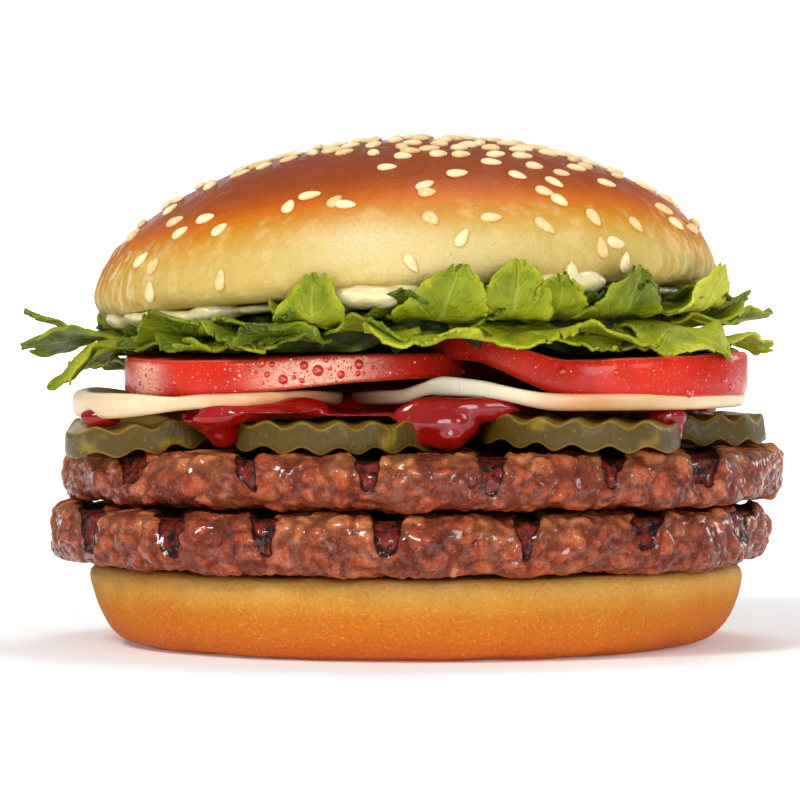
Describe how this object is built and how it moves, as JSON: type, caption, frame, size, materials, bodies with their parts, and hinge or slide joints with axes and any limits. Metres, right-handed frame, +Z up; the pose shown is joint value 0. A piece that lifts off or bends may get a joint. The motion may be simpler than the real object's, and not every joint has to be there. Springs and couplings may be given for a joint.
{
  "type": "double hamburger",
  "caption": "Double hamburger: a sesame bun round grilled patties, pickles, ketchup, onion, tomato, lettuce and mayonnaise, stacked as served.",
  "frame": {"origin": "centre of the heel's flat base, on the surface that the burger rests on", "axes": "+Z up through the stack, -Y towards the side that the picture shows, +X to that view's right"},
  "size_m": [0.125, 0.1201, 0.0834],
  "materials": {
    "heel_bun": "baked bread: golden brown, pale at the cut edge",
    "grilled_meat": "flame-grilled minced beef: craggy, moist, with dark grill marks",
    "pickle": "wet crinkle-cut gherkin",
    "ketchup": "glossy thick tomato sauce",
    "onion": "raw white onion, moist and slightly see-through",
    "tomato": "wet raw tomato with water droplets",
    "lettuce": "crisp curled leaf, slightly waxy",
    "mayonnaise": "creamy sauce, soft gloss",
    "crown_bun": "glazed crust, brown on top and pale at the rim, with sesame seeds"
  },
  "bodies": {
    "root": {"heel_bun": "heel_bun", "patty_lower": "grilled_meat", "patty_upper": "grilled_meat", "pickle_front_left": "pickle", "pickle_front_middle": "pickle", "pickle_front_right": "pickle", "pickle_right": "pickle", "pickle_back_right": "pickle", "pickle_back": "pickle", "pickle_back_left": "pickle", "ketchup": "ketchup", "onion_ring_left": "onion", "onion_ring_right": "onion", "onion_ring_back": "onion", "tomato_left": "tomato", "tomato_right": "tomato", "tomato_back": "tomato", "lettuce": "lettuce", "mayonnaise": "mayonnaise", "crown_bun": "crown_bun"}
  },
  "joints": []
}
